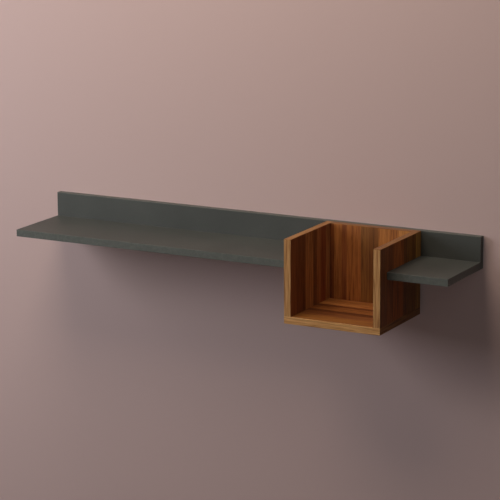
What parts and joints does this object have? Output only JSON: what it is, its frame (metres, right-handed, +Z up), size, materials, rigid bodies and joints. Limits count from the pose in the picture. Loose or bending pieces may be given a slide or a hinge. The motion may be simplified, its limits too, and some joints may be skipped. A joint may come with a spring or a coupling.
{
  "type": "wall shelf",
  "caption": "Long wall shelf of banded boards on a back rail, with an open box set between the shelves, hung on keyhole plates to carry books and small things.",
  "frame": {"origin": "centre of the rail's back face, on the wall plane", "axes": "+X along the rail to the right seen from the room, +Y into the wall, +Z up"},
  "size_m": [1.2, 0.25, 0.2096],
  "materials": {
    "anthracite_board": "matt anthracite melamine on chipboard",
    "anthracite_edge": "satin anthracite ABS edge band",
    "walnut_board": "walnut melamine on chipboard",
    "walnut_edge": "light walnut ABS edge band",
    "zinc_steel": "zinc plated",
    "hanger_steel": "zinc plated",
    "beech": "raw beech",
    "brown_cap": "satin brown"
  },
  "bodies": {
    "root": {"back_rail": "anthracite_board", "left_shelf": "anthracite_board", "right_shelf": "anthracite_board", "box_left_side": "walnut_board", "box_right_side": "walnut_board", "box_back": "walnut_board", "box_bottom": "walnut_board", "rail_top_band": "anthracite_edge", "rail_bottom_band": "anthracite_edge", "rail_left_end_band": "anthracite_edge", "rail_right_end_band": "anthracite_edge", "left_shelf_front_band": "anthracite_edge", "left_shelf_end_band": "anthracite_edge", "right_shelf_front_band": "anthracite_edge", "right_shelf_end_band": "anthracite_edge", "left_side_top_band": "walnut_edge", "left_side_front_band": "walnut_edge", "right_side_top_band": "walnut_edge", "right_side_front_band": "walnut_edge", "box_back_top_band": "walnut_edge", "box_bottom_front_band": "walnut_edge", "box_bottom_left_band": "walnut_edge", "box_bottom_right_band": "walnut_edge", "rail_to_left_shelf_screws": "zinc_steel", "rail_to_right_shelf_screws": "zinc_steel", "rail_to_box_side_screws": "zinc_steel", "box_bottom_screws": "zinc_steel", "rail_to_box_back_screws": "zinc_steel", "left_hanger_screws": "zinc_steel", "right_hanger_screws": "zinc_steel", "left_shelf_rail_dowels": "beech", "right_shelf_rail_dowel": "beech", "left_shelf_box_dowels": "beech", "right_shelf_box_dowels": "beech", "box_back_left_dowels": "beech", "box_back_right_dowels": "beech", "box_bottom_dowels": "beech", "box_bottom_screw_caps": "brown_cap", "left_hanger_plate": "hanger_steel", "right_hanger_plate": "hanger_steel"}
  },
  "joints": []
}
